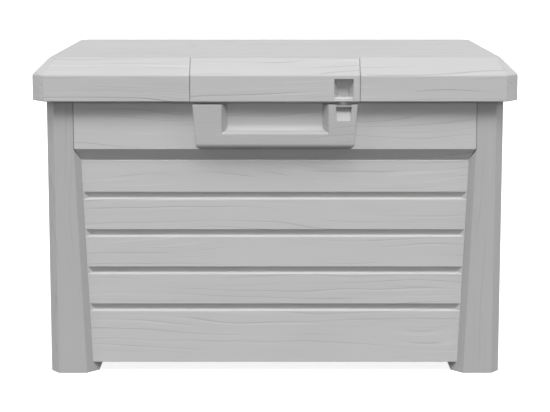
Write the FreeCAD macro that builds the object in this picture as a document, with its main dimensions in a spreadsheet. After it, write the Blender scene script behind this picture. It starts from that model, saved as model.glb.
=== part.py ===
import FreeCAD, Part
import os
import re
import Sketcher

# Cushion box of moulded polypropylene. Four plank walls slide into four hollow corner posts and
# carry a ribbed floor. A hollow lid with a separate front insert turns on two rear hinges, and a
# grip frame on the front has a padlock eye that lines up with one in the lid.
# The origin is on the ground under the middle of the box, +X is to the right seen from the front,
# the front faces -Y and every size is in millimetres.

SIZES = {
    # Lid
    "lid_width": 730,
    "lid_depth": 505,
    "total_height": 485,
    "skirt_height": 39,
    "bevel_rise": 25.5,
    "bevel_run": 26,
    "lid_wall": 3,
    "lid_cut_x": 20,
    "lid_cut_y": 28,
    "top_cut_x": 10,
    "top_cut_y": 14,
    "lid_edge_radius": 4,
    "seat_ring_wall": 3,
    "seat_gap": 0.3,
    "lid_rib_wall": 2.5,
    "lid_rib_depth": 14,
    "lid_rib_pitch": 96,
    # Front insert of the lid
    "insert_width": 254,
    "seam_gap": 0.5,
    "shelf_wall": 2.5,
    "shelf_depth": 19,
    "boss_radius": 4.5,
    "insert_screw_height": 31,
    "insert_screw_pitch": 50,
    # Body outline
    "side_overhang": 19.5,
    "front_overhang": 20,
    "rim_overlap": 11,
    "ground_gap": 15,
    "fit_gap": 0.3,
    # Corner posts
    "post_wall": 3,
    "post_cut_x": 12.4,
    "post_cut_y": 18,
    "post_face_top": 41.8,
    "post_face_foot": 56.3,
    "facet_run": 17.4,
    "facet_depth": 20,
    "lip_depth": 10.5,
    "hook_length": 7.2,
    "ledge_wall": 4,
    "slot_run_out": 5,
    # How far a rib or boss is rooted in the wall that carries it
    "root": 1,
    # Wall panels
    "panel_wall": 3,
    "fascia_show": 73.5,
    "underside_height": 18.4,
    "plank_pitch": 57.8,
    "groove_height": 9.5,
    "groove_depth": 6.4,
    "groove_end_run": 6.9,
    "groove_flat": 0.4,
    "ledge_drop": 2.3,
    "rim_depth": 22,
    "rim_inset": 2,
    "hollow_inset": 4,
    "flange_rise": 9,
    "flange_depth": 28,
    "fascia_rib_wall": 2.5,
    "fascia_rib_pitch": 70,
    # Carrying recesses in the side walls
    "cup_width": 110,
    "cup_height": 30,
    "cup_depth": 20,
    "cup_taper": 5,
    "cup_drop": 25,
    # Floor
    "floor_wall": 3,
    "floor_rib_wall": 2.5,
    "floor_rib_depth": 10,
    "floor_rib_pitch": 110,
    "rib_inset": 4,
    # Grip frame
    "grip_gap": 4.5,
    "grip_height": 67.5,
    "grip_half_top": 123.6,
    "grip_half_foot": 118,
    "grip_depth": 19.5,
    "grip_corner_radius": 9,
    "grip_opening_half": 80,
    "grip_opening_taper": 9,
    "bar_slope": 1,
    "grip_bar_height": 26,
    "grip_back_wall": 2.5,
    "grip_cove_radius": 10,
    "grip_edge_radius": 4,
    "grip_screw_half": 87,
    "grip_screw_low": 14,
    "grip_screw_rise": 34,
    # Padlock eyes
    "lock_offset": 102.6,
    "lock_setback": 11.5,
    "shackle_radius": 4.5,
    "lock_half": 14.2,
    "lock_height": 31,
    "lock_back_half": 7.5,
    "lock_back_height": 11.5,
    "lock_depth": 13.5,
    "lock_rim": 2.5,
    "lock_floor": 4,
    "lock_roof": 0.8,
    "lock_lip_inset": 0.7,
    "lock_lip_taper": 1.5,
    "lock_lip_run": 3.5,
    "lock_lip_flat": 0.1,
    "shackle_margin": 1.5,
    "eye_half_length": 15,
    "eye_half_width": 7,
    "eye_wall": 4,
    "ramp_half_top": 11.7,
    "ramp_half_foot": 10.4,
    "ramp_height": 24.5,
    "ramp_back_wall": 4,
    # Hinges
    "hinge_offset": 220,
    "hinge_out": 9.5,
    "hinge_drop": 9,
    "knuckle_radius": 6,
    "pin_radius": 2.5,
    "running_gap": 0.05,
    "leaf_wall": 3,
    "leaf_height": 22,
    "lid_knuckle_half": 12,
    "side_knuckle_length": 15,
    "knuckle_gap": 0.5,
    "web_drop": 3,
    "neck_inset": 0.5,
    "neck_rise": 2,
    "leaf_margin": 7,
    "pin_head": 1.5,
    "pin_head_rim": 1.5,
    # Screws
    "screw_radius": 2,
    "screw_gap": 0.05,
    "screw_head_radius": 4.2,
    "screw_head": 2.4,
    "head_edge": 0.8,
    "screw_length": 14,
    "short_screw": 5.2,
    "pilot_extra": 1,
    "drive_half": 1.9,
    "drive_slot": 0.5,
    "drive_depth": 1.3,
    "hinge_screw_half": 17,
    "bracket_screw_drop": 15,
    "leaf_screw_rise": 15,
}

# Grooves below the fascia, one at the foot of each plank but the last
GROOVES = 4

DERIVED = {
    "body_width": "lid_width - 2 * side_overhang",
    "body_depth": "lid_depth - 2 * front_overhang",
    "skirt_top": "total_height - bevel_rise",
    "skirt_bottom": "skirt_top - skirt_height",
    "lid_ceiling": "total_height - lid_wall",
    "bevel_length": "hypot(bevel_rise; bevel_run)",
    "inner_shift": "lid_wall * bevel_length / bevel_rise",
    "inner_shoulder": "skirt_top - (inner_shift - lid_wall) * bevel_rise / bevel_run",
    "inner_inset": "inner_shift + bevel_run * (bevel_rise - lid_wall) / bevel_rise",
    "lid_cut_length": "hypot(lid_cut_x; lid_cut_y)",
    "inner_cut_x": "lid_cut_x - lid_wall * (1 - (lid_cut_length - lid_cut_x) / lid_cut_y)",
    "inner_cut_y": "lid_cut_y - lid_wall * (1 - (lid_cut_length - lid_cut_y) / lid_cut_x)",
    "crease_x": "lid_width / 2 - bevel_run",
    "crease_y": "lid_depth / 2 - bevel_run",
    "rim_height": "skirt_bottom + rim_overlap",
    "fascia_bottom": "skirt_bottom - fascia_show",
    "first_ledge": "fascia_bottom - underside_height",
    "groove_slope": "groove_height / groove_depth",
    "wall_front": "lip_depth + fit_gap",
    "wall_back": "wall_front + panel_wall",
    "slot_end": "post_face_top - post_wall",
    "slot_depth": "wall_back + fit_gap",
    "hook_end": "slot_end + hook_length",
    "hook_back": "slot_depth + post_wall",
    "post_reach": "post_face_foot + facet_run + slot_run_out",
    "cut_length": "hypot(post_cut_x; post_cut_y)",
    "cavity_cut_x": "post_cut_x * (1 - post_wall / post_cut_y) + post_wall * cut_length / post_cut_y",
    "cavity_cut_y": "post_cut_y * (1 - post_wall / post_cut_x) + post_wall * cut_length / post_cut_x",
    "cavity_end": "slot_end - post_wall",
    "rib_start": "hook_end + rim_inset",
    "flange_foot": "ground_gap + flange_rise",
    "floor_level": "flange_foot + panel_wall",
    "grip_top": "skirt_bottom - grip_gap",
    "grip_bottom": "grip_top - grip_height",
    "grip_front": "-body_depth / 2 - grip_depth",
    "bar_top": "grip_bottom + grip_bar_height",
    "lock_y": "-lid_depth / 2 + lock_setback",
    "eye_bottom": "grip_top - eye_wall - fit_gap",
    "lock_floor_bottom": "skirt_bottom + shelf_wall",
    "lock_floor_top": "lock_floor_bottom + lock_floor",
    "lock_front": "-lid_depth / 2 + lid_wall",
    "lock_top": "lock_floor_bottom + lock_height",
    "hinge_y": "body_depth / 2 + hinge_out",
    "hinge_z": "skirt_bottom - hinge_drop",
    "side_knuckle_start": "lid_knuckle_half + knuckle_gap",
    "side_knuckle_end": "side_knuckle_start + side_knuckle_length",
    "pin_bore": "pin_radius + running_gap",
    "leaf_back": "lid_depth / 2 - lid_wall",
    "leaf_bottom": "hinge_z + knuckle_radius + knuckle_gap",
    "leaf_screw_z": "leaf_bottom + leaf_screw_rise",
    "bracket_screw_z": "hinge_z - bracket_screw_drop",
    "insert_screw_z": "skirt_bottom + insert_screw_height",
    "grip_screw_z": "grip_bottom + grip_screw_low",
    "screw_hole": "screw_radius + screw_gap",
}

doc = FreeCAD.newDocument("CushionBox")
sheet = doc.addObject("Spreadsheet::Sheet", "Sizes")
for row, (alias, size) in enumerate(SIZES.items(), 1):
    sheet.set(f"A{row}", alias)
    sheet.set(f"B{row}", str(size))
    sheet.setAlias(f"B{row}", alias)
doc.recompute()

parts = []


def formula(text):
    """Writes the size names in a formula as cells of the sheet, and derived names in full."""
    def replace(match):
        name = match.group()
        if name in SIZES:
            return "Sizes." + name
        if name in DERIVED:
            return "(" + formula(DERIVED[name]) + ")"
        return name
    return re.sub(r"[a-z][a-z_]*", replace, str(text))


def value(text):
    """The number that a formula gives with the sheet's present sizes."""
    return float(sheet.evalExpression(formula(text)))


def new_body(label, turn=0):
    """An empty body, turned about the vertical axis by a number of degrees."""
    body = doc.addObject("PartDesign::Body", label)
    body.Label = label
    body.Placement = FreeCAD.Placement(FreeCAD.Vector(), FreeCAD.Rotation(FreeCAD.Vector(0, 0, 1), turn))
    parts.append(body)
    return body


def rectangle(x_low, y_low, x_high, y_high):
    return [(x_low, y_low), (x_high, y_low), (x_high, y_high), (x_low, y_high)]


def centred(half, y_low, y_high):
    """A rectangle that reaches as far to the left of the sketch's axis as to its right."""
    return rectangle(f"-({half})", y_low, half, y_high)


def circle(x, y, radius):
    return [(x, y, radius)]


def sketch(body, title, plane, level, loops):
    """A sketch of closed loops on one of the body's own planes, at a level along the third axis."""
    drawing = body.newObject("Sketcher::SketchObject", title)
    support = next(item for item in body.Origin.OriginFeatures if item.Role == plane + "_Plane")
    drawing.AttachmentSupport = [(support, "")]
    drawing.MapMode = "FlatFace"
    normal_sign = -1 if plane == "XZ" else 1
    drawing.setExpression("AttachmentOffset.Base.z", formula(f"{normal_sign} * ({level})"))

    def hold(kind, geometry, point, text):
        number = drawing.addConstraint(Sketcher.Constraint(kind, -1, 1, geometry, point, value(text)))
        drawing.setExpression(f"Constraints[{number}]", formula(text))

    for loop in loops:
        first = drawing.GeometryCount
        if len(loop) == 1:
            x, y, radius = loop[0]
            centre = FreeCAD.Vector(value(x), value(y), 0)
            drawing.addGeometry(Part.Circle(centre, FreeCAD.Vector(0, 0, 1), value(radius)), False)
            number = drawing.addConstraint(Sketcher.Constraint("Radius", first, value(radius)))
            drawing.setExpression(f"Constraints[{number}]", formula(radius))
            hold("DistanceX", first, 3, x)
            hold("DistanceY", first, 3, y)
            continue
        corners = [FreeCAD.Vector(value(x), value(y), 0) for x, y in loop]
        count = len(corners)
        for index in range(count):
            line = Part.LineSegment(corners[index], corners[(index + 1) % count])
            drawing.addGeometry(line, False)
        for index in range(count):
            meet = Sketcher.Constraint("Coincident", first + index, 2, first + (index + 1) % count, 1)
            drawing.addConstraint(meet)
        for index, (x, y) in enumerate(loop):
            hold("DistanceX", first + index, 1, x)
            hold("DistanceY", first + index, 1, y)
    return drawing


def extrude(body, kind, title, plane, start, end, *loops):
    """A Pad or Pocket of the loops, from one level to another along the plane's third axis."""
    drawing = sketch(body, title + "Sketch", plane, start, loops)
    feature = body.newObject("PartDesign::" + kind, title)
    feature.Profile = drawing
    rises = value(f"({end}) - ({start})") > 0
    along_normal = rises != (plane == "XZ")
    feature.Reversed = along_normal if kind == "Pocket" else not along_normal
    feature.setExpression("Length", formula(f"abs(({end}) - ({start}))"))
    doc.recompute()
    return feature


def loft(body, kind, title, plane, start, start_loop, end, end_loop):
    """An Additive or Subtractive loft with flat sides between two loops."""
    first = sketch(body, title + "Start", plane, start, [start_loop])
    last = sketch(body, title + "End", plane, end, [end_loop])
    feature = body.newObject(f"PartDesign::{kind}Loft", title)
    feature.Profile = first
    feature.Sections = [last]
    feature.Ruled = True
    doc.recompute()
    return feature


def soften(body, kind, title, size, picked):
    """A Fillet or Chamfer on the edges of the body's tip whose two ends both pass the test."""
    base = body.Tip
    names = []
    for number, edge in enumerate(base.Shape.Edges, 1):
        if all(picked(vertex.Point) for vertex in edge.Vertexes):
            names.append(f"Edge{number}")
    feature = body.newObject("PartDesign::" + kind, title)
    feature.Base = (base, names)
    feature.setExpression("Radius" if kind == "Fillet" else "Size", formula(size))
    doc.recompute()
    return feature


def near(number, text):
    return abs(number - value(text)) < 0.02


def octagon(half_x, half_y, cut_x, cut_y):
    """A rectangle with its four corners cut off, point by point round the plan."""
    points = []
    for side_x, side_y in ((-1, -1), (1, -1), (1, 1), (-1, 1)):
        along = (f"{side_x} * ({half_x} - ({cut_x}))", f"{side_y} * ({half_y})")
        across = (f"{side_x} * ({half_x})", f"{side_y} * ({half_y} - ({cut_y}))")
        points += [across, along] if side_x == side_y else [along, across]
    return points


def corner_post(label, side, turn):
    """A hollow post whose outer faces widen to the foot. side is -1 on the left, 1 on the right."""
    body = new_body(label, turn)

    def plan(*points):
        """Points given from the outer corner, inwards along X and then along Y."""
        return [(f"{side} * (body_width / 2 - ({u}))", f"({v}) - body_depth / 2") for u, v in points]

    def column(face):
        far = f"{face} + facet_run"
        return plan(("0", "post_cut_y"), ("post_cut_x", "0"), (face, "0"), (far, "facet_depth"),
                    (far, far), ("facet_depth", far), ("0", face))

    loft(body, "Additive", "Column", "XY", "0", column("post_face_foot"),
         "fascia_bottom", column("post_face_top"))
    head = plan(("0", "post_cut_y"), ("post_cut_x", "0"), ("post_face_top", "0"),
                ("post_face_top", "lip_depth"), ("hook_end", "lip_depth"), ("hook_end", "hook_end"),
                ("lip_depth", "hook_end"), ("lip_depth", "post_face_top"), ("0", "post_face_top"))
    extrude(body, "Pad", "Head", "XY", "fascia_bottom", "rim_height", head)
    channel = plan(("post_reach", "lip_depth"), ("slot_end", "lip_depth"), ("slot_end", "slot_depth"),
                   ("hook_end", "slot_depth"), ("hook_end", "hook_back"), ("hook_back", "hook_back"),
                   ("hook_back", "hook_end"), ("slot_depth", "hook_end"), ("slot_depth", "slot_end"),
                   ("lip_depth", "slot_end"), ("lip_depth", "post_reach"), ("post_reach", "post_reach"))
    extrude(body, "Pocket", "PanelSlots", "XY", "ground_gap", "rim_height", channel)
    cavity = plan(("post_wall", "cavity_cut_y"), ("cavity_cut_x", "post_wall"),
                  ("cavity_end", "post_wall"), ("cavity_end", "slot_depth"), ("slot_depth", "slot_depth"),
                  ("slot_depth", "cavity_end"), ("post_wall", "cavity_end"))
    extrude(body, "Pocket", "Cavity", "XY", "0", "rim_height - post_wall", cavity)
    inner = "hook_back + post_wall"
    outer = "post_face_foot + facet_run - post_wall"
    hollow = plan((inner, inner), (outer, inner), (outer, outer), (inner, outer))
    extrude(body, "Pocket", "FootHollow", "XY", "0", "ground_gap - ledge_wall", hollow)

    # The fascia's sloped underside runs out over the inner facets, so they stop just below it
    def mitre(outline):
        points = []
        for v in ("-root", "lip_depth"):
            points.append((f"{v} - {outline} / 2", f"fascia_bottom - groove_slope * ({v}) - seam_gap"))
        points.append((f"lip_depth - {outline} / 2", "fascia_bottom"))
        points.append((f"-root - {outline} / 2", "fascia_bottom + panel_wall"))
        return points

    near_x = f"{side} * (body_width / 2 - post_face_top)"
    far_x = f"{side} * (body_width / 2 - post_reach)"
    extrude(body, "Pocket", "FrontMitre", "YZ", near_x, far_x, mitre("body_depth"))
    side_mitre = [(f"{-side} * ({x})", z) for x, z in mitre("body_width")]
    extrude(body, "Pocket", "SideMitre", "XZ", "post_face_top - body_depth / 2",
            "post_reach - body_depth / 2", side_mitre)
    return body


def wall_panel(label, length, span, turn, ribs):
    """A plank wall along its own X axis, outside towards -Y. ribs are the fascia's rib places."""
    body = new_body(label, turn)

    def depth(v):
        return f"({v}) - {span} / 2"

    def reach(u):
        return f"{length} / 2 - ({u})"

    def seam(z):
        """How far in from the corner the post's facet lets a plank show at a height."""
        face = f"post_face_foot - (post_face_foot - post_face_top) * ({z}) / fascia_bottom"
        return f"{face} + facet_run * lip_depth / facet_depth + seam_gap"

    extrude(body, "Pad", "Wall", "XZ", depth("wall_front"), depth("wall_back"),
            centred(reach("slot_end + fit_gap"), "ground_gap", "rim_height"))
    extrude(body, "Pad", "Fascia", "XZ", depth("0"), depth("wall_front"),
            centred(reach("post_face_top + seam_gap"), "fascia_bottom", "rim_height"))
    root = "post_face_top + seam_gap + facet_run * wall_front / facet_depth"
    loft(body, "Additive", "FasciaUnderside", "XZ",
         depth("0"), centred(reach("post_face_top + seam_gap"), "fascia_bottom", "fascia_bottom + panel_wall"),
         depth("wall_front"),
         centred(reach(root), "fascia_bottom - groove_slope * wall_front", "fascia_bottom + panel_wall"))
    extrude(body, "Pocket", "FasciaHollow", "XZ", depth("wall_back"), depth("panel_wall"),
            centred(reach("hook_end + hollow_inset"), "fascia_bottom + panel_wall", "rim_height - panel_wall"))
    rib_loops = []
    for place in ribs:
        left = f"{place} - fascia_rib_wall / 2"
        right = f"{place} + fascia_rib_wall / 2"
        rib_loops.append(rectangle(left, "fascia_bottom + root", right, "rim_height - root"))
    extrude(body, "Pad", "FasciaRibs", "XZ", depth("panel_wall - root"), depth("wall_back"), *rib_loops)
    extrude(body, "Pad", "Rim", "XY", "rim_height - panel_wall", "rim_height",
            centred(reach("rib_start"), depth("wall_back - root"), depth("rim_depth")))
    extrude(body, "Pad", "Flange", "XY", "flange_foot", "floor_level",
            centred(reach("rib_start"), depth("wall_back - root"), depth("flange_depth")))

    for number in range(GROOVES + 1):
        ledge = f"(first_ledge - {number} * plank_pitch)"
        if number == 0:
            top = "(fascia_bottom - groove_slope * wall_front)"
            bottom_depth = "(fascia_bottom - first_ledge) / groove_slope"
        else:
            top = f"({ledge} + groove_height)"
            bottom_depth = "wall_front + groove_depth"
        back = f"{bottom_depth} + panel_wall"
        ridge = [(depth("wall_front + root"), f"{top} + 1.5 * panel_wall"),
                 (depth(back), f"{ledge} + root"), (depth(back), f"{ledge} - panel_wall"),
                 (depth("wall_front + root"), f"{ledge} - panel_wall")]
        ridge_half = reach(f"{seam(ledge)} - panel_wall / 2")
        extrude(body, "Pad", f"Ridge{number}", "YZ", f"-({ridge_half})", ridge_half, ridge)
        mouth_half = reach(seam(ledge))
        mouth_foot = f"{ledge} - ledge_drop * ({bottom_depth} - wall_front) / groove_depth"
        inner_half = reach(f"{seam(ledge)} + groove_end_run * ({top} - {ledge}) / groove_height")
        loft(body, "Subtractive", f"Groove{number}", "XZ",
             depth("wall_front"), centred(mouth_half, mouth_foot, top),
             depth(bottom_depth), centred(inner_half, ledge, f"{ledge} + groove_flat"))
    return body


def rib_grid(body, pitch, wall, long_half, cross_half, start, end):
    """Three ribs along X and five along Y, all at one pitch about the middle."""
    long_ribs = []
    cross_ribs = []
    for step in (-1, 0, 1):
        middle = f"{step} * {pitch}"
        long_ribs.append(centred(long_half, f"{middle} - {wall} / 2", f"{middle} + {wall} / 2"))
    for step in (-2, -1, 0, 1, 2):
        middle = f"{step} * {pitch}"
        cross_ribs.append(rectangle(f"{middle} - {wall} / 2", f"-({cross_half})",
                                    f"{middle} + {wall} / 2", cross_half))
    extrude(body, "Pad", "LongRibs", "XY", start, end, *long_ribs)
    extrude(body, "Pad", "CrossRibs", "XY", start, end, *cross_ribs)


def floor_panel():
    """The floor on the walls' lower flanges, notched round the posts, with ribs beneath."""
    body = new_body("floor_panel")
    edge = "wall_back + fit_gap"
    clear = "hook_end + fit_gap"
    inset = "hook_back + fit_gap"
    notch = [(edge, clear), (inset, clear), (inset, inset), (clear, inset), (clear, edge)]
    outline = []
    for side_x, side_y in ((-1, -1), (1, -1), (1, 1), (-1, 1)):
        corner = notch if side_x == side_y else notch[::-1]
        for u, v in corner:
            outline.append((f"{side_x} * (body_width / 2 - ({u}))", f"{side_y} * (body_depth / 2 - ({v}))"))
    extrude(body, "Pad", "Plate", "XY", "floor_level", "floor_level + floor_wall", outline)
    rib_grid(body, "floor_rib_pitch", "floor_rib_wall", "body_width / 2 - flange_depth - rib_inset",
             "body_depth / 2 - flange_depth - rib_inset", "floor_level - floor_rib_depth",
             "floor_level + root")
    return body


def side_grip(body):
    """The carrying recess in a side wall's fascia: a tapered cup that opens outwards."""
    middle = "(skirt_bottom - cup_drop - cup_height / 2)"
    low = f"{middle} - cup_height / 2"
    high = f"{middle} + cup_height / 2"
    face = "-body_width / 2"
    extrude(body, "Pad", "CupShell", "XZ", f"{face} + panel_wall - root", f"{face} + cup_depth + panel_wall",
            centred("cup_width / 2 + panel_wall", f"{low} - panel_wall", f"{high} + panel_wall"))
    loft(body, "Subtractive", "Cup", "XZ", face, centred("cup_width / 2", low, high),
         f"{face} + cup_depth", centred("cup_width / 2 - cup_taper", f"{low} + cup_taper", high))


def screw_holes(body, title, start, end, centres):
    loops = [circle(x, z, "screw_hole") for x, z in centres]
    extrude(body, "Pocket", title, "XZ", start, end, *loops)


def grip_screw_places():
    places = []
    for side in (-1, 1):
        for rise in ("0", "grip_screw_rise"):
            places.append((f"{side} * grip_screw_half", f"grip_screw_z + {rise}"))
    return places


def insert_screw_places():
    return [(f"{step} * insert_screw_pitch", "insert_screw_z") for step in (-1.5, -0.5, 0.5, 1.5)]


def hinge_screw_places(height, sense):
    """Screw places of both hinges. sense is -1 in a frame that is turned round to the rear."""
    places = []
    for side in (-1, 1):
        for step in (-1, 1):
            places.append((f"{sense * side} * hinge_offset + {sense * step} * hinge_screw_half", height))
    return places


def lid_shell():
    """The hollow lid: skirt, bevel and top, a seat ring, ribs, and a notch for the front insert."""
    body = new_body("lid_shell")
    half_x, half_y = "lid_width / 2", "lid_depth / 2"
    skirt = octagon(half_x, half_y, "lid_cut_x", "lid_cut_y")
    crown = octagon("crease_x", "crease_y", "top_cut_x", "top_cut_y")
    extrude(body, "Pad", "Skirt", "XY", "skirt_bottom", "skirt_top", skirt)
    loft(body, "Additive", "Bevel", "XY", "skirt_top", skirt, "total_height", crown)

    def on_outside(point):
        return near(point.z, "total_height") or near(point.z, "skirt_top")
    soften(body, "Fillet", "SoftEdges", "lid_edge_radius", on_outside)
    inside = octagon("lid_width / 2 - lid_wall", "lid_depth / 2 - lid_wall",
                     "inner_cut_x", "inner_cut_y")
    ceiling = octagon("lid_width / 2 - inner_inset", "lid_depth / 2 - inner_inset",
                      "top_cut_x", "top_cut_y")
    extrude(body, "Pocket", "SkirtHollow", "XY", "skirt_bottom", "inner_shoulder", inside)
    loft(body, "Subtractive", "BevelHollow", "XY", "inner_shoulder", inside, "lid_ceiling", ceiling)
    extrude(body, "Pad", "SeatRing", "XY", "rim_height + seat_gap", "lid_ceiling + root",
            crown, octagon("crease_x - seat_ring_wall", "crease_y - seat_ring_wall",
                           "top_cut_x", "top_cut_y"))
    rib_grid(body, "lid_rib_pitch", "lid_rib_wall", "crease_x - root", "crease_y - root",
             "lid_ceiling - lid_rib_depth", "lid_ceiling + root")
    extrude(body, "Pocket", "InsertNotch", "XY", "skirt_bottom", "total_height",
            centred("insert_width / 2 + seam_gap / 2", "-lid_depth / 2 - root", "-crease_y"))
    screw_holes(body, "InsertScrewHoles", "-crease_y", "seat_ring_wall - crease_y", insert_screw_places())
    screw_holes(body, "LeafPilots", "leaf_back", "leaf_back + short_screw - leaf_wall + fit_gap",
                hinge_screw_places("leaf_screw_z", 1))
    return body


def lid_front_insert():
    """The middle of the lid's front: skirt and bevel in one strip, with end walls and screw bosses."""
    body = new_body("lid_front_insert")
    front = "-lid_depth / 2"
    half = "insert_width / 2 - seam_gap / 2"
    top_y = "-crease_y - seam_gap"
    top_z = "total_height - seam_gap * bevel_rise / bevel_run"
    wall_drop = "lid_wall * bevel_length / bevel_run"
    strip = [(front, "skirt_bottom"), (front, "skirt_top"),
             (top_y, top_z), (top_y, f"{top_z} - {wall_drop}"),
             (f"{front} + lid_wall", "inner_shoulder"),
             (f"{front} + lid_wall", "skirt_bottom + shelf_wall"),
             (f"{front} + shelf_depth", "skirt_bottom + shelf_wall"),
             (f"{front} + shelf_depth", "skirt_bottom")]
    extrude(body, "Pad", "Strip", "YZ", f"-({half})", half, strip)

    def on_front(point):
        return near(point.z, "skirt_top") and near(point.y, front)
    soften(body, "Fillet", "SoftEdge", "lid_edge_radius", on_front)
    gusset = [(f"{front} + root", "skirt_bottom"), (f"{front} + root", "skirt_top"),
              (top_y, f"{top_z} - root"), (top_y, "rim_height + seat_gap"),
              (f"{front} + shelf_depth", "rim_height + seat_gap"),
              (f"{front} + shelf_depth", "skirt_bottom")]
    for title, start, end in (("LeftEnd", f"-({half})", f"lid_wall - ({half})"),
                              ("RightEnd", f"{half} - lid_wall", half)):
        extrude(body, "Pad", title, "YZ", start, end, gusset)
    bosses = [circle(x, z, "boss_radius") for x, z in insert_screw_places()]
    extrude(body, "Pad", "Bosses", "XZ", "-crease_y", f"{front} + lid_wall - root", *bosses)
    screw_holes(body, "Pilots", "-crease_y", "-crease_y - screw_length + seat_ring_wall - pilot_extra",
                insert_screw_places())
    extrude(body, "Pocket", "LockWindow", "XZ", front, f"{front} + lid_wall",
            rectangle("lock_offset - lock_half", "lock_floor_bottom",
                      "lock_offset + lock_half", "lock_top"))
    extrude(body, "Pocket", "ShackleGap", "XY", "skirt_bottom", "skirt_bottom + shelf_wall",
            circle("lock_offset", "lock_y", "shackle_radius + shackle_margin"))
    return body


def lid_lock_pocket():
    """The funnel behind the insert's window. Its floor is the lid's padlock eye."""
    body = new_body("lid_lock_pocket")
    outer = "lock_half + lock_rim"

    def around(half, low, high):
        return rectangle(f"lock_offset - ({half})", low, f"lock_offset + {half}", high)

    extrude(body, "Pad", "Block", "XZ", "lock_front", "lock_front + lock_depth + lock_rim",
            around(outer, "lock_floor_bottom", "lock_top + lock_roof"))
    loft(body, "Subtractive", "Funnel", "XZ",
         "lock_front", around("lock_half", "lock_floor_top", "lock_top"),
         "lock_front + lock_depth",
         around("lock_back_half", "lock_floor_top", "lock_floor_top + lock_back_height"))
    loft(body, "Subtractive", "FrontLip", "XZ",
         "lock_front",
         around("lock_half - lock_lip_inset", "lock_floor_bottom + root", "lock_floor_top + fit_gap"),
         "lock_front + lock_lip_run",
         around("lock_half - lock_lip_inset - lock_lip_taper", "lock_floor_top - lock_lip_flat",
                "lock_floor_top + fit_gap"))
    extrude(body, "Pocket", "ShackleHole", "XY", "lock_floor_bottom", "lock_floor_top",
            circle("lock_offset", "lock_y", "shackle_radius"))
    return body


def grip_frame():
    """The U-shaped hand grip on the front wall, with a coved opening and a ramp below the eye."""
    body = new_body("grip_frame")
    face = "-body_depth / 2"
    outline = [("-grip_half_foot", "grip_bottom"), ("grip_half_foot", "grip_bottom"),
               ("grip_half_top", "grip_top"), ("-grip_half_top", "grip_top")]
    extrude(body, "Pad", "Block", "XZ", face, "grip_front", outline)

    def on_foot(point):
        at_corner = near(abs(point.x), "grip_half_foot")
        return near(point.z, "grip_bottom") and (at_corner or near(point.y, "grip_front"))
    soften(body, "Fillet", "SoftFoot", "grip_corner_radius", on_foot)
    back = f"{face} - grip_back_wall"
    loft(body, "Subtractive", "Opening", "XZ",
         "grip_front", centred("grip_opening_half", "bar_top", "grip_top + root"), back,
         centred("grip_opening_half - grip_opening_taper", "bar_top + bar_slope", "grip_top + root"))
    soften(body, "Fillet", "Cove", "grip_cove_radius",
           lambda point: near(point.y, back) and near(point.z, "bar_top + bar_slope"))
    soften(body, "Fillet", "BarEdge", "grip_edge_radius",
           lambda point: near(point.y, "grip_front") and near(point.z, "bar_top"))

    def around(half, low, high):
        return rectangle(f"lock_offset - {half}", low, f"lock_offset + {half}", high)

    ramp_foot = "grip_top - ramp_height"
    ramp_back = f"{face} - ramp_back_wall"
    notch = [("lock_offset - ramp_half_foot", ramp_foot), ("lock_offset + ramp_half_foot", ramp_foot),
             ("lock_offset + ramp_half_top", "grip_top"), ("lock_offset - ramp_half_top", "grip_top")]
    extrude(body, "Pocket", "LockNotch", "XZ", "grip_front", ramp_back, notch)
    ramp = [("grip_front", ramp_foot), (ramp_back, "eye_bottom - seam_gap"),
            (ramp_back, f"{ramp_foot} - root"), ("grip_front", f"{ramp_foot} - root")]
    extrude(body, "Pad", "Ramp", "YZ", "lock_offset - ramp_half_top", "lock_offset + ramp_half_top", ramp)
    extrude(body, "Pocket", "EyeSeat", "XY", "eye_bottom", "grip_top",
            rectangle("lock_offset - eye_half_length - fit_gap", "lock_y - eye_half_width - fit_gap",
                      "lock_offset + eye_half_length + fit_gap", "lock_y + eye_half_width + fit_gap"))
    screw_holes(body, "Pilots", face, f"{face} - screw_length + panel_wall - pilot_extra",
                grip_screw_places())
    return body


def box_lock_eye():
    """The flat plate across the grip frame's notch, with the box's padlock eye."""
    body = new_body("box_lock_eye")
    extrude(body, "Pad", "Plate", "XY", "eye_bottom", "eye_bottom + eye_wall",
            rectangle("lock_offset - eye_half_length", "lock_y - eye_half_width",
                      "lock_offset + eye_half_length", "lock_y + eye_half_width"))
    extrude(body, "Pocket", "ShackleHole", "XY", "eye_bottom", "eye_bottom + eye_wall",
            circle("lock_offset", "lock_y", "shackle_radius"))
    return body


def knuckle(body, title, start, end):
    extrude(body, "Pad", title, "YZ", start, end, circle("hinge_y", "hinge_z", "knuckle_radius"))


def box_bracket(label, side):
    """A hinge's fixed half: a plate on the rear wall with two webbed knuckles."""
    body = new_body(label)
    middle = f"{side} * hinge_offset"
    face = "body_depth / 2"
    plate = rectangle(face, "hinge_z - leaf_height", f"{face} + leaf_wall", "hinge_z")
    inner = f"{middle} - side_knuckle_end"
    outer = f"{middle} + side_knuckle_end"
    extrude(body, "Pad", "Plate", "YZ", inner, outer, plate)
    web_foot = "hinge_z - knuckle_radius - web_drop"
    web = [(face, "hinge_z"), (face, web_foot), (f"{face} + leaf_wall", web_foot),
           ("hinge_y", "hinge_z - knuckle_radius + neck_inset"), ("hinge_y", "hinge_z")]
    for hand in (-1, 1):
        start = f"{middle} + {hand} * side_knuckle_start"
        end = f"{middle} + {hand} * side_knuckle_end"
        extrude(body, "Pad", "Web", "YZ", start, end, web)
        knuckle(body, "Knuckle", start, end)
    extrude(body, "Pocket", "PinBore", "YZ", inner, outer, circle("hinge_y", "hinge_z", "pin_bore"))
    screw_holes(body, "ScrewHoles", face, f"{face} + leaf_wall",
                [(f"{middle} + {step} * hinge_screw_half", "bracket_screw_z") for step in (-1, 1)])
    return body


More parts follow.
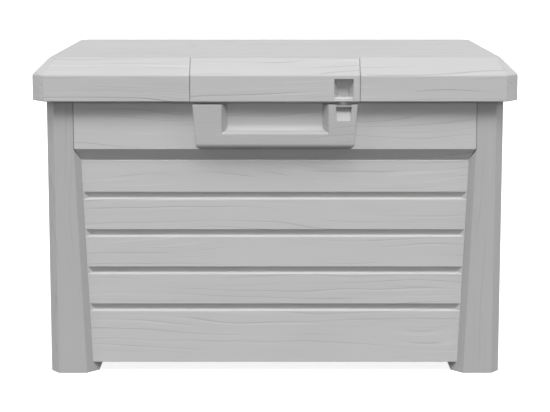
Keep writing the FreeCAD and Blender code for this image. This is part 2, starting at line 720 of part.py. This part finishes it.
def lid_leaf(label, side):
    """A hinge's moving half: a plate inside the lid's rear skirt with one knuckle."""
    body = new_body(label)
    middle = f"{side} * hinge_offset"
    wide = "hinge_screw_half + leaf_margin"
    plate = rectangle("leaf_back - leaf_wall", "leaf_bottom", "leaf_back", "leaf_bottom + leaf_height")
    extrude(body, "Pad", "Plate", "YZ", f"{middle} - ({wide})", f"{middle} + {wide}", plate)
    start, end = f"{middle} - lid_knuckle_half", f"{middle} + lid_knuckle_half"
    neck_top = "leaf_bottom + neck_rise"
    neck = [("hinge_y", "hinge_z"), ("leaf_back", "hinge_z"), ("leaf_back", neck_top),
            ("leaf_back - leaf_wall", neck_top), ("hinge_y", "hinge_z + knuckle_radius - neck_inset")]
    extrude(body, "Pad", "Neck", "YZ", start, end, neck)
    knuckle(body, "Knuckle", start, end)
    extrude(body, "Pocket", "PinBore", "YZ", start, end, circle("hinge_y", "hinge_z", "pin_bore"))
    screw_holes(body, "ScrewHoles", "leaf_back - leaf_wall", "leaf_back",
                [(f"{middle} + {step} * hinge_screw_half", "leaf_screw_z") for step in (-1, 1)])
    return body


def hinge_pin(label, side):
    """A round pin through a hinge's three knuckles, with a flat head at its outer end."""
    body = new_body(label)
    middle = f"{side} * hinge_offset"
    inner = f"{middle} - {side} * side_knuckle_end"
    outer = f"{middle} + {side} * (side_knuckle_end + running_gap)"
    extrude(body, "Pad", "Shank", "YZ", inner, outer, circle("hinge_y", "hinge_z", "pin_radius"))
    extrude(body, "Pad", "PinHead", "YZ", outer, f"{outer} + {side} * pin_head",
            circle("hinge_y", "hinge_z", "pin_radius + pin_head_rim"))
    return body


def screw_group(label, seat, sense, length, centres):
    """Cross-head screws along Y. seat is where the heads rest, and sense points to their tips."""
    body = new_body(label)
    crown = f"{seat} - {sense} * screw_head"
    heads = [circle(x, z, "screw_head_radius") for x, z in centres]
    extrude(body, "Pad", "Heads", "XZ", seat, crown, *heads)
    soften(body, "Chamfer", "HeadEdges", "head_edge", lambda point: near(point.y, crown))
    shanks = [circle(x, z, "screw_radius") for x, z in centres]
    extrude(body, "Pad", "Shanks", "XZ", seat, f"{seat} + {sense} * ({length})", *shanks)
    crosses = []
    for x, z in centres:
        cross = []
        for hand_x, hand_z in ((-1, -1), (1, -1), (1, 1), (-1, 1)):
            upright = (f"{x} + {hand_x} * drive_slot", f"{z} + {hand_z} * drive_half")
            corner = (f"{x} + {hand_x} * drive_slot", f"{z} + {hand_z} * drive_slot")
            level = (f"{x} + {hand_x} * drive_half", f"{z} + {hand_z} * drive_slot")
            cross += [level, corner, upright] if hand_x == hand_z else [upright, corner, level]
        crosses.append(cross)
    extrude(body, "Pocket", "Drives", "XZ", crown, f"{crown} + {sense} * drive_depth", *crosses)
    return body


FASCIA_RIBS = [f"{step} * fascia_rib_pitch" for step in (-3, -2, -1, 0, 1, 2, 3)]
SIDE_RIBS = [f"{step} * fascia_rib_pitch" for step in (-2, -1, 1, 2)]

floor_panel()
front = wall_panel("front_panel", "body_width", "body_depth", 0, FASCIA_RIBS)
screw_holes(front, "GripScrewHoles", "-body_depth / 2", "panel_wall - body_depth / 2", grip_screw_places())
rear = wall_panel("rear_panel", "body_width", "body_depth", 180, FASCIA_RIBS)
rear_face = "-body_depth / 2"
rear_bosses = [circle(x, z, "boss_radius") for x, z in hinge_screw_places("bracket_screw_z", -1)]
extrude(rear, "Pad", "HingeBosses", "XZ", f"{rear_face} + panel_wall - root", f"{rear_face} + wall_back",
        *rear_bosses)
screw_holes(rear, "HingePilots", rear_face, f"{rear_face} + screw_length - leaf_wall + pilot_extra",
            hinge_screw_places("bracket_screw_z", -1))
for label, turn in (("left_side_panel", -90), ("right_side_panel", 90)):
    side_grip(wall_panel(label, "body_depth", "body_width", turn, SIDE_RIBS))
for label, side, turn in (("front_left_post", -1, 0), ("front_right_post", 1, 0),
                          ("rear_right_post", -1, 180), ("rear_left_post", 1, 180)):
    corner_post(label, side, turn)
grip_frame()
box_lock_eye()
screw_group("grip_screws", "panel_wall - body_depth / 2", -1, "screw_length", grip_screw_places())
lid_shell()
lid_front_insert()
lid_lock_pocket()
screw_group("insert_screws", "seat_ring_wall - crease_y", -1, "screw_length", insert_screw_places())
for name, side in (("left", -1), ("right", 1)):
    box_bracket(f"{name}_hinge_bracket", side)
    lid_leaf(f"{name}_hinge_leaf", side)
    hinge_pin(f"{name}_hinge_pin", side)
screw_group("bracket_screws", "body_depth / 2 + leaf_wall", -1, "screw_length",
            hinge_screw_places("bracket_screw_z", 1))
screw_group("leaf_screws", "leaf_back - leaf_wall", 1, "short_screw", hinge_screw_places("leaf_screw_z", 1))

doc.recompute()
for item in doc.Objects:
    if "Invalid" in item.State or "Error" in item.State:
        raise RuntimeError(f"{item.Label} did not compute")
    if item.TypeId == "PartDesign::Pocket" and item.Shape.Volume >= item.BaseFeature.Shape.Volume - 0.001:
        raise RuntimeError(f"{item.Label} cut nothing")
os.makedirs("parts", exist_ok=True)
for body in parts:
    if body.Shape.isNull() or not body.Shape.isValid():
        raise RuntimeError(f"{body.Label} has no valid shape")
    body.Shape.exportStep(f"parts/{body.Label}.step")
    print(f"{body.Label}: {len(body.Shape.Solids)} solids, {body.Shape.Volume / 1000:.1f} cm3")
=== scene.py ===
import math
from collections import namedtuple

import bpy
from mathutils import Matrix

# Cushion box of light grey moulded resin. The frame's solids keep their meshes. This script welds
# and softens their edges, gives every part its moulded grain, and sets up the studio.

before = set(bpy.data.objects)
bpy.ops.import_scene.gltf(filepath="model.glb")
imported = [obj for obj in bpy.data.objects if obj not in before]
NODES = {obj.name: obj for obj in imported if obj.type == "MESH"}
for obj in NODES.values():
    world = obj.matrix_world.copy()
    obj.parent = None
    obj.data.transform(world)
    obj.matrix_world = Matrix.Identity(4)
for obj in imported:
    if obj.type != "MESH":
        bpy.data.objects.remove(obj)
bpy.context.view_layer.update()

# Camera, fitted to the photograph's frame
CAMERA_Y = -2.851
CAMERA_Z = 0.6676
CAMERA_PITCH = math.radians(8.847)
CAMERA_LENS = 114.4
SENSOR_WIDTH = 36.0

# Floor and surround
FLOOR_REACH = 90.0
FLOOR_TOP = -0.0002
FLOOR_GREY = 0.5
FLOOR_GLOW = 0.87
FLOOR_ROUGHNESS = 0.95
DOME_ABOVE = 1.0
DOME_BELOW = 0.25
DOME_FADE_FROM = -0.06
DOME_FADE_TO = -0.01

# Soft distant lights. Heading 0 shines from the front and 180 from behind, in degrees. A light
# without shine leaves no highlight.
Sun = namedtuple("Sun", "heading elevation spread strength shine", defaults=(True,))
KEY_LIGHT = Sun(heading=0, elevation=55.5, spread=26, strength=0.6)
KEY_WASH = Sun(heading=0, elevation=55.5, spread=26, strength=1.65)
KEY_HALO = Sun(heading=0, elevation=48, spread=64, strength=0.3)
FRONT_FILL = Sun(heading=0, elevation=8, spread=18, strength=0.86, shine=False)
CORNER_LIGHT = Sun(heading=60, elevation=34, spread=30, strength=0.62)
SIDE_LIGHT = Sun(heading=110, elevation=5, spread=40, strength=0.84, shine=False)
REAR_LIGHT = Sun(heading=140, elevation=5, spread=30, strength=1.6, shine=False)

# Edge softening, in metres
WELD_DISTANCE = 0.00002
MOULDED_EDGE = 0.0008
THIN_EDGE = 0.0005
HINGE_EDGE = 0.0004
METAL_EDGE = 0.00025
EDGE_SEGMENTS = 2
SHARP_ANGLE = math.radians(28)
FLAT_ANGLE = math.radians(0.3)
EVEN_SHADING_WEIGHT = 80
ROUNDING_SAMPLES = 6
FREELY_ROUNDED = ("post", "insert", "floor_panel", "insert_screws")

# Greys of the resins, linear
WALL_GREY = 0.545
POST_GREY = 0.452
LID_GREY = 0.527
GRIP_GREY = 0.465
HINGE_GREY = 0.27
RESIN_TINT = (1.0, 1.004, 1.0)

# Gloss of the resins
RESIN_GLOSS = 0.03
RESIN_IOR = 1.49
RESIN_ROUGHNESS = 0.58
HINGE_ROUGHNESS = 0.45

# Fine pebble of the moulds, and slow clouds in the colour, per metre
RESIN_PEBBLES = 1500.0
RESIN_PEBBLE_RELIEF = 0.00002
RESIN_PEBBLE_STRENGTH = 0.6
RESIN_CLOUDS = 6.0
HINGE_PEBBLES = 900.0
HINGE_PEBBLE_RELIEF = 0.00004
HINGE_PEBBLE_STRENGTH = 0.7
HINGE_PEBBLE_ROUGHNESS = 0.12
HINGE_CLOUDS = 20.0
HINGE_CLOUD_SHADE = 0.9

# Zinc plating: its patches per metre, and how they change its colour, roughness and relief
ZINC_PATCHES = 260.0
BRIGHT_ZINC = (0.62, 0.63, 0.64, 1.0)
DULL_ZINC = (0.46, 0.47, 0.48, 1.0)
ZINC_ROUGHNESS = 0.26
ZINC_PATCH_ROUGHNESS = 0.2
ZINC_RELIEF = 0.00002
ZINC_RELIEF_STRENGTH = 0.5

# Grain of each resin: the axis it follows, the depth of its relief, how dark its lines are, the
# radius that rounds the shading of edges, and a shift that gives a part grain of its own
Grain = namedtuple("Grain", "along relief ink rounding shift", defaults=(0.0,))
LONG_WALL_GRAIN = Grain("X", relief=0.00014, ink=0.25, rounding=0.0010)
SIDE_WALL_GRAIN = Grain("Y", relief=0.00014, ink=0.25, rounding=0.0010)
POST_GRAIN = Grain("Z", relief=0.00008, ink=0.13, rounding=0.0016)
LID_GRAIN = Grain("X", relief=0.00018, ink=0.32, rounding=0.0024)
INSERT_GRAIN = Grain("X", relief=0.00018, ink=0.32, rounding=0.0014, shift=1.7)
GRIP_GRAIN = Grain("X", relief=0.0001, ink=0.22, rounding=0.0016, shift=2.3)

# Lines of the grain: how many cross a metre, and by how many line spaces they bend and waver
LINES_PER_METRE = 92.0
LINE_BEND = 3.6
LINE_WAVER = 1.0
DARK_LINE_WIDTH = 0.10
CLOSE_LINE_WIDTH = 0.18
CLOSE_LINE_RATIO = 2.7
LIGHT_LINE_WIDTH = 0.17
LIGHT_LINE_OFFSET = 0.24

# How much each axis counts across the grain: mostly the height on walls, less on level faces
ACROSS_GRAIN = {"X": (0.0, 0.45, 1.0), "Y": (0.45, 0.0, 1.0), "Z": (1.0, 0.6, 0.0)}
SIDEWAYS_NORMAL = 0.45
SHIFT_SPREAD = (1.0, 0.31, 0.17)
SEED_SPREAD = (1.0, 2.7, 1.9)

# Noise that is drawn out along the grain: how fine it is across and along it, per metre, and the
# seed that sets it apart from the others
Field = namedtuple("Field", "across along seed detail", defaults=(1.0,))
BEND = Field(across=7.0, along=2.4, seed=0.3)
WAVER = Field(across=32.0, along=5.0, seed=1.1)
SWELL = Field(across=42.0, along=3.5, seed=4.0, detail=2.0)

# Patches of such noise, which run from none at low to full at high
Patches = namedtuple("Patches", "field low high")
DARK_PATCHES = Patches(Field(across=62.0, along=2.6, seed=5.0), low=0.50, high=0.62)
CLOSE_PATCHES = Patches(Field(across=26.0, along=4.5, seed=3.0), low=0.60, high=0.72)
LIGHT_PATCHES = Patches(Field(across=60.0, along=3.8, seed=8.0), low=0.52, high=0.68)
FLECKS = Patches(Field(across=190.0, along=8.0, seed=2.0, detail=2.0), low=0.60, high=0.76)
FLECK_PATCHES = Patches(Field(across=22.0, along=3.0, seed=7.0), low=0.42, high=0.66)

# Shares of each kind of mark in the depth and height of the grain
CLOSE_SHARE = 0.55
FLECK_SHARE = 0.35
SWELL_HEIGHT = 1.1
LIGHT_HEIGHT = 0.5

# Tones of the grain: the lightest and darkest as shares of the resin's grey, the blend of them that
# gives the grey itself, and how far each kind of mark moves that blend
LIGHTEST = 1.25
DARKEST = 0.55
EVEN_TONE = (LIGHTEST - 1.0) / (LIGHTEST - DARKEST)
LIGHT_INK = 0.45
SWELL_INK = 0.10
CLOUD_INK = 0.08
GRAIN_ROUGHNESS = 0.10


class Graph:
    """A material's node tree, with short ways to add and join nodes."""

    def __init__(self, name):
        self.material = bpy.data.materials.new(name)
        self.material.use_nodes = True
        self.tree = self.material.node_tree
        self.tree.nodes.clear()
        self.output = self.add("ShaderNodeOutputMaterial")
        self.shader = self.add("ShaderNodeBsdfPrincipled")
        self.join(self.shader.outputs["BSDF"], self.output.inputs["Surface"])
        coordinates = self.add("ShaderNodeTexCoord")
        self.place = coordinates.outputs["Object"]
        self.normal = coordinates.outputs["Normal"]

    def add(self, kind, **settings):
        node = self.tree.nodes.new(kind)
        for key, setting in settings.items():
            setattr(node, key, setting)
        return node

    def join(self, source, target):
        self.tree.links.new(source, target)

    def put(self, source, target):
        """Joins an output to an input, or sets the input to a plain value."""
        if isinstance(source, bpy.types.NodeSocket):
            self.join(source, target)
        else:
            target.default_value = source

    def fix(self, socket, setting):
        """Sets one of the shader's own inputs to a value that is the same all over."""
        self.shader.inputs[socket].default_value = setting

    def feed(self, socket, source):
        """Joins an output to one of the shader's own inputs."""
        self.join(source, self.shader.inputs[socket])

    def math(self, operation, first, second=0.0, clamp=False):
        node = self.add("ShaderNodeMath", operation=operation, use_clamp=clamp)
        self.put(first, node.inputs[0])
        self.put(second, node.inputs[1])
        return node.outputs[0]

    def plus(self, first, second, clamp=False):
        return self.math("ADD", first, second, clamp)

    def minus(self, first, second):
        return self.math("SUBTRACT", first, second)

    def times(self, first, second):
        return self.math("MULTIPLY", first, second)

    def stretch(self, vector, scale, offset):
        node = self.add("ShaderNodeMapping")
        self.put(vector, node.inputs["Vector"])
        node.inputs["Scale"].default_value = scale
        node.inputs["Location"].default_value = offset
        return node.outputs["Vector"]

    def noise(self, vector, scale, detail):
        node = self.add("ShaderNodeTexNoise")
        self.put(vector, node.inputs["Vector"])
        node.inputs["Scale"].default_value = scale
        node.inputs["Detail"].default_value = detail
        return node.outputs["Fac"]

    def ramp(self, source, low, high):
        """Maps low..high to 0..1, held at both ends."""
        node = self.add("ShaderNodeMapRange", clamp=True)
        self.put(source, node.inputs["Value"])
        node.inputs["From Min"].default_value = low
        node.inputs["From Max"].default_value = high
        return node.outputs["Result"]

    def blend(self, factor, first, second):
        node = self.add("ShaderNodeMix", data_type="RGBA")
        self.put(factor, node.inputs["Factor"])
        self.put(first, node.inputs["A"])
        self.put(second, node.inputs["B"])
        return node.outputs["Result"]

    def turned_place(self, along):
        """The object's own coordinates. Grain along the X axis is turned on the faces that look
        sideways, so that it runs along them and never end-on into them."""
        if along != "X":
            return self.place
        facing = self.add("ShaderNodeSeparateXYZ")
        self.join(self.normal, facing.inputs["Vector"])
        parts = self.add("ShaderNodeSeparateXYZ")
        self.join(self.place, parts.inputs["Vector"])
        swapped = self.add("ShaderNodeCombineXYZ")
        self.join(parts.outputs["Y"], swapped.inputs["X"])
        self.join(parts.outputs["X"], swapped.inputs["Y"])
        self.join(parts.outputs["Z"], swapped.inputs["Z"])
        slant = self.math("ABSOLUTE", facing.outputs["X"])
        choice = self.add("ShaderNodeMix", data_type="VECTOR")
        self.put(self.math("GREATER_THAN", slant, SIDEWAYS_NORMAL), choice.inputs["Factor"])
        vectors = [socket for socket in choice.inputs if socket.type == "VECTOR"]
        self.join(self.place, vectors[-2])
        self.join(swapped.outputs["Vector"], vectors[-1])
        return [socket for socket in choice.outputs if socket.type == "VECTOR"][0]

    def lines_across(self, place, along):
        """How far a point lies across the grain, in line spaces."""
        node = self.add("ShaderNodeVectorMath", operation="DOT_PRODUCT")
        self.join(place, node.inputs[0])
        node.inputs[1].default_value = [slope * LINES_PER_METRE for slope in ACROSS_GRAIN[along]]
        return node.outputs["Value"]

    def rounded(self, radius):
        """The surface's normal, with its edges softened over the radius."""
        node = self.add("ShaderNodeBevel", samples=ROUNDING_SAMPLES)
        node.inputs["Radius"].default_value = radius
        return node.outputs["Normal"]

    def bump(self, height, distance, strength=1.0, below=None):
        node = self.add("ShaderNodeBump")
        node.inputs["Strength"].default_value = strength
        node.inputs["Distance"].default_value = distance
        self.put(height, node.inputs["Height"])
        if below is not None:
            self.join(below, node.inputs["Normal"])
        return node.outputs["Normal"]


def shade(grey, tint=(1.0, 1.0, 1.0)):
    return (grey * tint[0], grey * tint[1], grey * tint[2], 1.0)


def apart(distance, spread):
    """An offset by the distance, spread unevenly over the three axes."""
    return tuple(distance * share for share in spread)


def grain_marks(graph, grain):
    """The depth of the grain's dark marks, its light lines and its slow swell."""
    offset = apart(grain.shift, SHIFT_SPREAD)
    place = graph.stretch(graph.turned_place(grain.along), (1, 1, 1), offset)

    def noise(field):
        """Noise that is drawn out along the grain, around 0.5."""
        scale = [field.across] * 3
        scale["XYZ".index(grain.along)] = field.along
        start = apart(field.seed, SEED_SPREAD)
        return graph.noise(graph.stretch(place, scale, start), 1.0, field.detail)

    def patchy(marks, patches):
        """Marks that show only in patches."""
        return graph.times(marks, graph.ramp(noise(patches.field), patches.low, patches.high))

    def lines(level, width):
        """Thin lines halfway between whole levels: 1 on a line, 0 off it."""
        distance = graph.math("ABSOLUTE", graph.minus(graph.math("FRACT", level), 0.5))
        return graph.minus(1.0, graph.ramp(distance, 0.0, width))

    level = graph.lines_across(place, grain.along)
    level = graph.plus(level, graph.times(noise(BEND), LINE_BEND * 2.0))
    level = graph.plus(level, graph.times(noise(WAVER), LINE_WAVER * 2.0))
    dark = patchy(lines(level, DARK_LINE_WIDTH), DARK_PATCHES)
    close = patchy(lines(graph.times(level, CLOSE_LINE_RATIO), CLOSE_LINE_WIDTH), CLOSE_PATCHES)
    light = patchy(lines(graph.plus(level, LIGHT_LINE_OFFSET), LIGHT_LINE_WIDTH), LIGHT_PATCHES)
    fleck = patchy(graph.ramp(noise(FLECKS.field), FLECKS.low, FLECKS.high), FLECK_PATCHES)
    swell = graph.minus(noise(SWELL), 0.5)

    depth = graph.plus(dark, graph.times(close, CLOSE_SHARE))
    depth = graph.plus(depth, graph.times(fleck, FLECK_SHARE), clamp=True)
    return depth, light, swell


def grained_resin(name, base, grain):
    """Moulded resin of a grey base, with long shallow grain."""
    graph = Graph(name)
    depth, light, swell = grain_marks(graph, grain)

    height = graph.minus(graph.times(swell, SWELL_HEIGHT), depth)
    height = graph.plus(height, graph.times(light, LIGHT_HEIGHT))
    pebble = graph.noise(graph.place, RESIN_PEBBLES, detail=1.0)
    edges = graph.rounded(grain.rounding)
    fine = graph.bump(pebble, RESIN_PEBBLE_RELIEF, RESIN_PEBBLE_STRENGTH, below=edges)
    graph.feed("Normal", graph.bump(height, grain.relief, below=fine))

    cloud = graph.minus(graph.noise(graph.place, RESIN_CLOUDS, detail=2.0), 0.5)
    tone = graph.plus(graph.times(depth, grain.ink), EVEN_TONE)
    tone = graph.minus(tone, graph.times(light, grain.ink * LIGHT_INK))
    tone = graph.minus(tone, graph.times(swell, SWELL_INK))
    tone = graph.plus(tone, graph.times(cloud, CLOUD_INK), clamp=True)
    lightest = shade(base * LIGHTEST, RESIN_TINT)
    darkest = shade(base * DARKEST, RESIN_TINT)
    graph.feed("Base Color", graph.blend(tone, lightest, darkest))
    graph.feed("Roughness", graph.plus(graph.times(depth, GRAIN_ROUGHNESS), RESIN_ROUGHNESS))
    graph.fix("Specular IOR Level", RESIN_GLOSS)
    graph.fix("IOR", RESIN_IOR)
    return graph.material


def plain_resin(name, base):
    """Moulded resin with a fine even texture."""
    graph = Graph(name)
    pebble = graph.noise(graph.place, HINGE_PEBBLES, detail=2.0)
    cloud = graph.ramp(graph.noise(graph.place, HINGE_CLOUDS, detail=2.0), 0.3, 0.7)
    graph.feed("Normal", graph.bump(pebble, HINGE_PEBBLE_RELIEF, HINGE_PEBBLE_STRENGTH))
    graph.feed("Base Color", graph.blend(cloud, shade(base), shade(base * HINGE_CLOUD_SHADE)))
    roughness = graph.plus(graph.times(pebble, HINGE_PEBBLE_ROUGHNESS), HINGE_ROUGHNESS)
    graph.feed("Roughness", roughness)
    return graph.material


def zinc_steel(name):
    """Zinc-plated steel with a slightly patchy sheen."""
    graph = Graph(name)
    patch = graph.noise(graph.place, ZINC_PATCHES, detail=3.0)
    graph.feed("Base Color", graph.blend(graph.ramp(patch, 0.35, 0.7), BRIGHT_ZINC, DULL_ZINC))
    graph.feed("Roughness", graph.plus(graph.times(patch, ZINC_PATCH_ROUGHNESS), ZINC_ROUGHNESS))
    graph.feed("Normal", graph.bump(patch, ZINC_RELIEF, ZINC_RELIEF_STRENGTH))
    graph.fix("Metallic", 1.0)
    return graph.material


def dress(node, material, edge):
    """Gives a frame node its material, welds its seams and rounds its sharp edges."""
    piece = NODES[node]
    piece.data.materials.clear()
    piece.data.materials.append(material)
    for polygon in piece.data.polygons:
        polygon.use_smooth = True
        polygon.material_index = 0
    weld = piece.modifiers.new("Weld", "WELD")
    weld.merge_threshold = WELD_DISTANCE
    flat = piece.modifiers.new("Whole faces", "DECIMATE")
    flat.decimate_type = "DISSOLVE"
    flat.angle_limit = FLAT_ANGLE
    bevel = piece.modifiers.new("Soft edges", "BEVEL")
    bevel.width = edge
    bevel.segments = EDGE_SEGMENTS
    bevel.limit_method = "ANGLE"
    bevel.angle_limit = SHARP_ANGLE
    bevel.use_clamp_overlap = not node.endswith(FREELY_ROUNDED)
    even = piece.modifiers.new("Even shading", "WEIGHTED_NORMAL")
    even.weight = EVEN_SHADING_WEIGHT
    even.keep_sharp = True


def dress_all():
    walls_x = grained_resin("wall_resin_long", WALL_GREY, LONG_WALL_GRAIN)
    walls_y = grained_resin("wall_resin_side", WALL_GREY, SIDE_WALL_GRAIN)
    posts = grained_resin("post_resin", POST_GREY, POST_GRAIN)
    lid = grained_resin("lid_resin", LID_GREY, LID_GRAIN)
    insert = grained_resin("lid_insert_resin", LID_GREY, INSERT_GRAIN)
    grip = grained_resin("grip_resin", GRIP_GREY, GRIP_GRAIN)
    hinge = plain_resin("hinge_resin", HINGE_GREY)
    steel = zinc_steel("steel")
    finish = {
        "floor_panel": (walls_x, MOULDED_EDGE),
        "front_panel": (walls_x, MOULDED_EDGE),
        "rear_panel": (walls_x, MOULDED_EDGE),
        "left_side_panel": (walls_y, MOULDED_EDGE),
        "right_side_panel": (walls_y, MOULDED_EDGE),
        "grip_frame": (grip, THIN_EDGE),
        "box_lock_eye": (grip, THIN_EDGE),
        "lid_shell": (lid, THIN_EDGE),
        "lid_front_insert": (insert, THIN_EDGE),
        "lid_lock_pocket": (lid, THIN_EDGE),
    }
    for side in ("left", "right"):
        finish[f"front_{side}_post"] = (posts, MOULDED_EDGE)
        finish[f"rear_{side}_post"] = (posts, MOULDED_EDGE)
        finish[f"{side}_hinge_bracket"] = (hinge, HINGE_EDGE)
        finish[f"{side}_hinge_leaf"] = (hinge, HINGE_EDGE)
        finish[f"{side}_hinge_pin"] = (steel, METAL_EDGE)
    for group in ("grip_screws", "insert_screws", "bracket_screws", "leaf_screws"):
        finish[group] = (steel, METAL_EDGE)
    for node, (material, edge) in finish.items():
        dress(node, material, edge)


def place_sun(name, sun, turn=1):
    """Adds a sun to the scene. A turn of -1 mirrors its heading to the left."""
    data = bpy.data.lights.new(name, "SUN")
    data.energy = sun.strength
    data.angle = math.radians(sun.spread)
    lamp = bpy.data.objects.new(name, data)
    lamp.rotation_euler = (math.radians(90 - sun.elevation), 0.0, math.radians(turn * sun.heading))
    lamp.visible_glossy = sun.shine
    bpy.context.scene.collection.objects.link(lamp)
    return lamp


def pass_through(lamp, node):
    """Lets a lamp shine past a frame node, so that the node throws only the other lamps' shadows."""
    blockers = bpy.data.collections.new(f"{lamp.name}_blockers")
    blockers.objects.link(NODES[node])
    blockers.collection_objects[0].light_linking.link_state = "EXCLUDE"
    lamp.light_linking.blocker_collection = blockers


def paper_floor():
    """A pale floor that glows a little, so that it stays near white and keeps soft contact shadows."""
    mesh = bpy.data.meshes.new("floor")
    turns = ((-1, -1), (1, -1), (1, 1), (-1, 1))
    corners = [(x * FLOOR_REACH, y * FLOOR_REACH, FLOOR_TOP) for x, y in turns]
    mesh.from_pydata(corners, [], [(0, 1, 2, 3)])
    floor = bpy.data.objects.new("floor", mesh)
    bpy.context.scene.collection.objects.link(floor)
    graph = Graph("floor_paper")
    graph.fix("Base Color", shade(FLOOR_GREY))
    graph.fix("Roughness", FLOOR_ROUGHNESS)
    graph.fix("Emission Color", shade(1.0))
    graph.fix("Emission Strength", FLOOR_GLOW)
    mesh.materials.append(graph.material)
    floor.visible_diffuse = False
    floor.visible_glossy = False
    floor.visible_shadow = False


def white_dome():
    """A white surround for the background and for reflections, darker below the floor line."""
    world = bpy.data.worlds.new("dome")
    world.use_nodes = True
    tree = world.node_tree
    background = tree.nodes["Background"]
    direction = tree.nodes.new("ShaderNodeTexCoord")
    parts = tree.nodes.new("ShaderNodeSeparateXYZ")
    tree.links.new(direction.outputs["Generated"], parts.inputs["Vector"])
    rise = tree.nodes.new("ShaderNodeMapRange")
    rise.inputs["From Min"].default_value = DOME_FADE_FROM
    rise.inputs["From Max"].default_value = DOME_FADE_TO
    rise.inputs["To Min"].default_value = DOME_BELOW
    rise.inputs["To Max"].default_value = DOME_ABOVE
    tree.links.new(parts.outputs["Z"], rise.inputs["Value"])
    tree.links.new(rise.outputs["Result"], background.inputs["Strength"])
    background.inputs["Color"].default_value = shade(1.0)
    bpy.context.scene.world = world
    world.cycles_visibility.diffuse = False


def studio():
    """A high key light, a low fill from the front, and softer lights at both sides and behind."""
    paper_floor()
    white_dome()
    bpy.context.scene.view_settings.view_transform = "Standard"
    place_sun("key_light", KEY_LIGHT)
    pass_through(place_sun("key_wash", KEY_WASH), "grip_frame")
    place_sun("key_halo", KEY_HALO)
    place_sun("front_fill", FRONT_FILL)
    for side, turn in (("left", -1), ("right", 1)):
        place_sun(f"{side}_front_light", CORNER_LIGHT, turn)
        place_sun(f"{side}_side_light", SIDE_LIGHT, turn)
        place_sun(f"{side}_rear_light", REAR_LIGHT, turn)


def camera():
    data = bpy.data.cameras.new("camera")
    data.lens = CAMERA_LENS
    data.sensor_width = SENSOR_WIDTH
    cam = bpy.data.objects.new("camera", data)
    cam.location = (0.0, CAMERA_Y, CAMERA_Z)
    cam.rotation_euler = (math.pi / 2 - CAMERA_PITCH, 0.0, 0.0)
    bpy.context.scene.collection.objects.link(cam)
    bpy.context.scene.camera = cam


dress_all()
studio()
camera()
